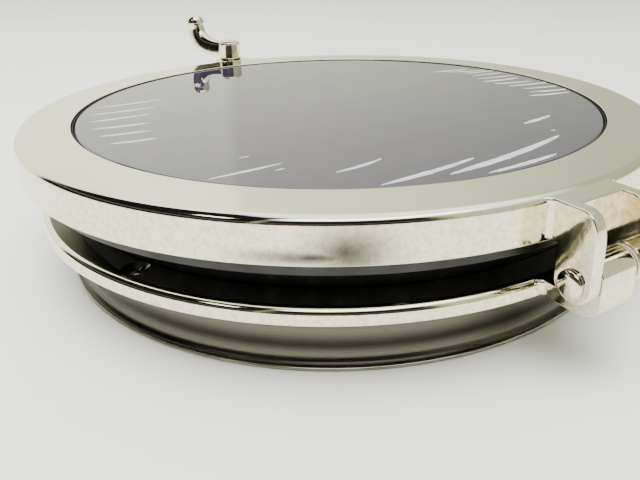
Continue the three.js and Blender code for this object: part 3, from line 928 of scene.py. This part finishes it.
def lever_arm():
    """The finger lever along +X, square-shouldered by the hub and round at its tip."""
    line = lever_line()
    last = len(line) - 1
    maker = bmesh.new()
    rings = []
    for k, (distance, height, thickness) in enumerate(line):
        along = (Vector(line[min(k + 1, last)][:2]) - Vector(line[max(k - 1, 0)][:2])).normalized()
        up = Vector((-along.y, along.x))
        deep = thickness / 2
        wide = deep - 0.8 * MM * (1 - k / last)
        power = 0.5 + 0.5 * (k / last) ** 2
        ring = []
        for s in range(LEVER_SIDES):
            angle = 2 * math.pi * s / LEVER_SIDES
            rise = squared(math.sin(angle), power)
            spread = squared(math.cos(angle), power) * (0.84 - 0.16 * rise)
            offset = up * (deep * rise)
            ring.append(maker.verts.new((distance + offset.x, wide * spread, lid_top + height + offset.y)))
        rings.append(ring)
    for lower, upper in zip(rings, rings[1:]):
        bridge(maker, lower, upper)
    maker.faces.new(rings[0])
    maker.faces.new(rings[-1])
    return piece_from(maker, "lever_handle_cast")


def lever_handle():
    """The round hub and the finger lever that runs out from it and curls upwards to a rounded tip."""
    arm = lever_arm()
    arc = arc_points(0, 0, lever_tip_radius, -80, 80, 16)
    tip = turned("tip", [(0, -lever_tip_radius), *arc, (0, lever_tip_radius)], LEVER_SIDES)
    moved(tip, Matrix.Translation((lever_reach, 0, lid_top + lever_rise - 0.2 * MM)))
    bottom = lid_top + GAP
    top = hub_cap_low.z - GAP
    radius = 9 * MM
    corners = [(0, bottom, 0), (radius, bottom, 0.8 * MM), (radius, top, 1.2 * MM), (0, top, 0)]
    hub = turned("hub", rounded(corners, 4), 64)
    combine(arm, [hub, tip], "UNION")
    smooth_casting(arm)
    combine(arm, [rod("bore", spindle_radius + GAP, bottom - MM, top + MM)], "DIFFERENCE")
    turn = Matrix.Rotation(math.radians(lever_azimuth), 4, "Z")
    return moved(arm, turn, Matrix.Translation((0, latch.y, 0)))


def smooth_casting(piece):
    """Blends joined bodies into one cast shape with soft inner corners."""
    remesh = piece.modifiers.new("remesh", "REMESH")
    remesh.mode = "VOXEL"
    remesh.voxel_size = 0.6 * MM
    smooth = piece.modifiers.new("smooth", "SMOOTH")
    smooth.iterations = 8
    smooth.factor = 0.5
    return bake_modifiers(piece)


def handle_cap():
    """The bright domed cap on the hub."""
    radius = (hub_cap_high.x - hub_cap_low.x) / 2
    bottom = hub_cap_low.z
    top = hub_cap_high.z
    chamfer = 0.3 * MM
    wall = 0.4 * MM
    dome = arc_points(0, bottom + wall, radius, 0, 80, 8, top - bottom - wall)
    foot = [(0, bottom), (radius - chamfer, bottom), (radius, bottom + chamfer)]
    return onto_latch(turned("handle_cap_domed", [*foot, *dome, (0, top)], SMALL_SEGMENTS))


def spindle():
    """The latch spindle: shaft, thrust collar and threaded tail."""
    tail = spindle_tail_radius
    shaft = spindle_radius
    collar = (spindle_high.x - spindle_low.x) / 2
    collar_bottom = tongue_high.z + GAP
    collar_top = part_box("latch_thrust_washer")[0].z - GAP
    bottom = spindle_low.z
    top = spindle_high.z
    lead = 0.6 * MM
    edge = 0.4 * MM
    end = 0.5 * MM
    pitch = MM
    thread_root = tail - 0.45 * MM
    outline = [(0, bottom), (tail - lead, bottom), (tail, bottom + lead)]
    for k in range(int((nut_high.z - bottom) / pitch)):
        turn = bottom + lead + k * pitch
        outline += [(tail, turn + 0.15 * MM), (thread_root, turn + 0.55 * MM), (tail, turn + 0.95 * MM)]
    outline += [(tail, collar_bottom), (collar - edge, collar_bottom), (collar, collar_bottom + edge)]
    outline += [(collar, collar_top - edge), (collar - edge, collar_top), (shaft, collar_top)]
    outline += [(shaft, top - end), (shaft - end, top), (0, top)]
    return onto_latch(turned("latch_spindle_turned", outline, SMALL_SEGMENTS))


def thrust_washer():
    """The steel washer under the bush."""
    low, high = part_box("latch_thrust_washer")
    radius = (high.x - low.x) / 2
    return onto_latch(sleeve("latch_thrust_washer_steel", spindle_radius + GAP, radius, low.z, high.z))


def tongue():
    """The latch tongue: a flat bar with round ends and rounded edges."""
    boss = 8 * MM
    half_width = 5.5 * MM
    length = 24 * MM
    boss_angle = math.degrees(math.asin(half_width / boss))
    plan = arc_points(0, 0, boss, boss_angle, 360 - boss_angle, 28)
    plan += arc_points(length - half_width, 0, half_width, -90, 90, 14)
    bar = plate("latch_tongue_bar", plan, tongue_low.z, tongue_high.z, 0.6 * MM)
    bore = rod("bore", spindle_tail_radius + GAP, tongue_low.z - MM, tongue_high.z + MM)
    combine(bar, [bore], "DIFFERENCE")
    return onto_latch(bar)


def tongue_nut():
    """The nut under the tongue, with chamfered corners."""
    corner = 6.2 * MM
    face = 5.4 * MM
    wide = corner + 0.1 * MM
    body = plate("latch_nut_hex", arc_points(0, 0, corner, 0, 300, 5), nut_low.z, nut_high.z, 0)
    middle = (nut_low.z + nut_high.z) / 2
    lower = [(0, nut_low.z - 0.1 * MM), (face, nut_low.z - 0.01 * MM), (wide, nut_low.z + 0.6 * MM)]
    upper = [(radius, 2 * middle - height) for radius, height in reversed(lower)]
    keep = turned("keep", [*lower, (wide, middle), *upper], SMALL_SEGMENTS)
    combine(body, [keep], "INTERSECT")
    bore = rod("bore", spindle_tail_radius + GAP, nut_low.z - MM, nut_high.z + MM)
    return onto_latch(combine(body, [bore], "DIFFERENCE"))


# ---- film residue on the glass ----
# The long strokes on the hinge's side: radius and azimuth of the start, length, heading and widest width,
# in millimetres and degrees.
LONG_STROKES = [
    (150, -142, 34, 0, 2.4),
    (134, -122, 27, 1, 2.4),
    (150, -115, 54, 0, 3.6),
    (145, -103, 84, 3, 5.0),
    (150, -97, 44, -2, 3.2),
    (115, -63, 26, 6, 3.4),
]


def stroke_places(generator):
    """Every stroke that was left when the film was torn off, in the units of LONG_STROKES."""
    places = list(LONG_STROKES)
    for i in range(6):
        heading = generator.uniform(-4, 4) - 2.5 * i
        places.append((149 - 1.2 * i, 155 + 6.5 * i, 40 - 3.5 * i, heading, 3))
    for i in range(11):
        heading = generator.uniform(-20, -12)
        width = generator.uniform(3, 4.6)
        places.append((120 + 6 * math.sin(i), -28 + 5 * i, 32, heading, width))
    for azimuth in (-143, -133, -66):
        radius = generator.uniform(118, 142)
        length = generator.uniform(3, 7)
        places.append((radius, azimuth, length, 0, 1.3))
    return places


def film_streaks(seed=7):
    """Thin torn strokes of old film, all pulled much the same way, lying on the glass near its edge."""
    generator = random.Random(seed)
    maker = bmesh.new()
    for place in stroke_places(generator):
        add_stroke(maker, generator, *place)
    return piece_from(maker, "film_streaks")


def add_stroke(maker, generator, radius, azimuth, length, heading, width):
    """One closed stroke with a low crest, which narrows to nothing at the glass's edge."""
    steps = 24
    step = length * MM / steps
    base = glass_high.z + 0.02 * MM
    limit = glass_high.x - 0.5 * MM
    way = math.radians(heading)
    bend = generator.uniform(0.1, 0.35) / steps if length > 20 else 0
    place = Vector(on_ring(radius * MM, azimuth)[:2])
    left, crest, right = [], [], []
    for k in range(steps + 1):
        t = k / steps
        room = limit - place.length
        if room < 0.1 * MM:
            break
        along = Vector((math.cos(way), math.sin(way)))
        side = Vector((-along.y, along.x))
        full = width * MM / 2 * math.sin(math.pi * (0.94 * t + 0.03)) ** 0.6
        half = min(room, full * generator.uniform(0.8, 1.1))
        top = 0.16 * MM * math.sin(math.pi * t)
        for row, reach, rise in ((left, half, 0), (crest, 0, top), (right, -half, 0)):
            row.append(maker.verts.new((*(place + side * reach), base + rise)))
        place = place + along * step
        way += bend
    for k in range(len(crest) - 1):
        maker.faces.new((crest[k], crest[k + 1], left[k + 1], left[k]))
        maker.faces.new((right[k], right[k + 1], crest[k + 1], crest[k]))
        maker.faces.new((left[k], left[k + 1], right[k + 1], right[k]))
    maker.faces.new((left[0], right[0], crest[0]))
    maker.faces.new((crest[-1], right[-1], left[-1]))


# ---- room ----
VIEW_HEADING = 57.6  # degrees from +X, the way the camera looks
VIEW_PITCH = -19.9
VIEW_ROLL = -0.3
VIEW_PLACE = Vector((-0.1866, -0.3151, 0.1599))
VIEW_LENS = 33.4
VIEW_SHIFT = (-0.063, -0.105)  # the photograph's framing is off its lens's centre

# The room's light, before ROOM_STRENGTH.
WALL_LEFT = (0.88, 0.88, 0.71)
WALL_RIGHT = (0.365, 0.375, 0.28)
CORNER_SHADE = (0.78, 0.78, 0.77)  # the right-hand wall against the left-hand one, where they meet
CEILING = (1.0, 1.0, 0.94)
DARK_ROOM = (0.005, 0.005, 0.006)
WORKTOP = (0.06, 0.06, 0.057)
WARM_GLOW = (0.035, 0.016, 0.013)
LAMP = (2.6, 2.6, 2.5)
ROOM_STRENGTH = 2.25

# Where things stand: the start, end and softness of their swing, then of their height.
# Swing is in radians, from straight behind the camera to its right. Height is 0 level and 1 overhead.
DOORWAY_PLACE = ((-1.9, -0.45, 0.06), (0.0, 0.95, 0.02))
SHELVES_PLACE = ((-0.5, 0.6, 0.1), (0.0, 0.72, 0.03))
GLOW_PLACE = ((-0.4, 0.15, 0.08), (0.06, 0.26, 0.04))
TUBE_PLACE = ((-0.5, 1.2, 0.12), (0.8, 0.92, 0.02))
GLINT_PLACE = ((-0.95, -0.72, 0.03), (0.62, 0.7, 0.01))
WORKTOP_HEIGHT = (0.24, 0.36, 0.02)


class Room(NodeGraph):
    """The light around the porthole, by direction."""

    def __init__(self):
        world = bpy.data.worlds.new("room")
        bpy.context.scene.world = world
        world.use_nodes = True
        super().__init__(world.node_tree, "Background")
        x, y, self.height = self.split(self.coordinates_of("Generated"))
        along = math.radians(VIEW_HEADING)
        self.right = self.math("ADD", self.times(x, math.sin(along)), self.times(y, -math.cos(along)))
        self.ahead = self.math("ADD", self.times(x, math.cos(along)), self.times(y, math.sin(along)))
        self.swing = self.math("ARCTAN2", self.right, self.times(self.ahead, -1.0))

    def rise(self, value, start, end):
        """0 before the start, 1 after the end and a smooth step between them."""
        return self.remap(value, 0, 1, start, end, "SMOOTHSTEP")

    def band(self, value, start, end, softness):
        """1 between start and end, and 0 outside them."""
        up = self.rise(value, start - softness, start + softness)
        down = self.rise(value, end - softness, end + softness)
        return self.math("SUBTRACT", up, down)

    def patch(self, place):
        """1 where something stands, and 0 around it."""
        across, upwards = place
        return self.times(self.band(self.swing, *across), self.band(self.height, *upwards))

    def walls(self):
        """Two pale walls that meet in a corner beyond the porthole."""
        plain = self.mix(self.rise(self.right, -0.3, 0.6), WALL_LEFT, WALL_RIGHT)
        past_corner = self.rise(self.math("ARCTAN2", self.right, self.ahead), -0.235, -0.205)
        shaded = self.times(past_corner, self.rise(self.ahead, -0.2, 0.3))
        return self.mix(shaded, plain, CORNER_SHADE, "MULTIPLY")


def build_world():
    """A pale room corner, a bright ceiling, and a dark room behind the camera for the steel to mirror."""
    room = Room()
    light = room.mix(room.rise(room.height, 0.6, 0.85), room.walls(), CEILING)
    dark_room = room.mix(room.band(room.height, *WORKTOP_HEIGHT), DARK_ROOM, WORKTOP)
    opening = room.math("MAXIMUM", room.patch(DOORWAY_PLACE), room.patch(SHELVES_PLACE))
    light = room.mix(opening, light, dark_room)
    light = room.mix(room.patch(GLOW_PLACE), light, WARM_GLOW)
    lamps = room.math("MAXIMUM", room.patch(TUBE_PLACE), room.patch(GLINT_PLACE))
    room.set("Color", room.mix(lamps, light, LAMP))
    room.set("Strength", ROOM_STRENGTH)


# ---- stage ----
def build_floor():
    """A plain pale floor with a faint sheen."""
    paint = Surface("pale_floor")
    paint.set("Roughness", 0.5)
    paint.color(paint.ramp(paint.noise(3, 3), (0.78, 0.78, 0.74), (0.82, 0.82, 0.785)))
    bpy.ops.mesh.primitive_plane_add(size=14, location=(0, 0, -0.0002))
    floor = bpy.context.object
    floor.name = "floor"
    floor.data.materials.append(paint.material)


def build_light(name, location, size, power):
    """A soft rectangular lamp that points at the porthole."""
    lamp = bpy.data.lights.new(name, "AREA")
    lamp.shape = "RECTANGLE"
    lamp.size, lamp.size_y = size
    lamp.energy = power
    lamp.color = (1, 0.99, 0.98)
    holder = bpy.data.objects.new(name, lamp)
    bpy.context.scene.collection.objects.link(holder)
    holder.location = location
    holder.rotation_euler = (-Vector(location)).to_track_quat("-Z", "Y").to_euler()
    holder.visible_glossy = False  # the steel mirrors the room, not the lamps


def build_lights():
    """One broad soft lamp overhead and a weaker one from the side."""
    build_light("ceiling", (-0.3, -0.2, 2.2), (1.8, 1.2), 96)
    build_light("side", (-1.7, 0.4, 1.2), (0.9, 0.9), 28)


def build_camera():
    """The camera stands low and close in front of the porthole's left side."""
    data = bpy.data.cameras.new("camera")
    data.lens = VIEW_LENS
    data.sensor_width = 36
    data.clip_start = 0.01
    data.shift_x, data.shift_y = VIEW_SHIFT
    camera = bpy.data.objects.new("camera", data)
    bpy.context.scene.collection.objects.link(camera)
    turn = Matrix.Rotation(math.radians(VIEW_HEADING - 90), 4, "Z")
    tilt = Matrix.Rotation(math.radians(90 + VIEW_PITCH), 4, "X")
    roll = Matrix.Rotation(math.radians(VIEW_ROLL), 4, "Z")
    camera.matrix_world = Matrix.Translation(VIEW_PLACE) @ turn @ tilt @ roll
    bpy.context.scene.camera = camera


# ---- assembly ----
def build_porthole():
    """Every piece of the porthole, on the body that it moves with."""
    polished = polished_steel()
    machined = machined_steel()
    rubber = black_rubber()
    nylon = white_nylon()

    fit(flange_ring(), "frame", "polished_steel", flange_steel(), "flange_ring")
    fit(spigot_tube(), "frame", "satin_steel", satin_steel(), "spigot_tube")
    fit(spigot_rim(), "frame", "satin_steel", rim_steel())
    fit(compression_seal(), "frame", "black_rubber", rubber, "compression_seal")
    fit(latch_keeper(), "frame", "grey_steel", machined, "latch_keeper")
    for i in KEEPER_SCREWS:
        fit(keeper_screw(i), "frame", "grey_steel", machined, f"keeper_screw_{i}")
    fit(hinge_pin(), "frame", "polished_steel", polished, "hinge_pin")
    fit(hinge_clip(), "frame", "grey_steel", machined, "hinge_pin_clip")

    fit(lid_ring(), "lid", "polished_steel", lid_steel(), "lid_ring")
    fit(glass_pane(), "lid", "tinted_glass", tinted_glass(), "glass_pane")
    fit(glazing_seal(), "lid", "black_rubber", rubber, "glazing_seal")
    # painted shade: the land ring gets a much darker copy of the machined steel, for the shade under the
    # lid
    fit(land_ring(), "lid", "grey_steel", machined_steel("land_steel_painted_shade", grey=0.045), "lid_land_ring")
    for i, azimuth in enumerate(LAND_SCREW_AZIMUTHS, start=1):
        fit(land_screw(i, azimuth), "lid", "grey_steel", machined, f"lid_land_screw_{i}")
    for side in ("left", "right"):
        washer = hinge_sleeve(f"hinge_washer_ring_{side}", f"hinge_washer_{side}", 7.6 * MM)
        fit(washer, "frame", "white_nylon", nylon, f"hinge_washer_{side}")
        bush = hinge_sleeve(f"hinge_bush_tube_{side}", f"hinge_bush_{side}", bush_radius)
        fit(bush, "lid", "white_nylon", nylon, f"hinge_bush_{side}")
    fit(latch_bush(), "lid", "white_nylon", nylon, "latch_bush")
    fit(o_ring(), "lid", "black_rubber", rubber, "latch_o_ring")
    fit(film_streaks(), "lid", "tinted_glass", film_residue())

    fit(lever_handle(), "latch", "polished_steel", polished, "lever_handle")
    fit(handle_cap(), "latch", "polished_steel", polished, "handle_cap")
    fit(spindle(), "latch", "grey_steel", machined, "latch_spindle")
    fit(thrust_washer(), "latch", "grey_steel", machined, "latch_thrust_washer")
    fit(tongue(), "latch", "grey_steel", machined, "latch_tongue")
    fit(tongue_nut(), "latch", "grey_steel", machined, "latch_tongue_nut")


build_camera()
build_world()
build_lights()
build_floor()
build_porthole()
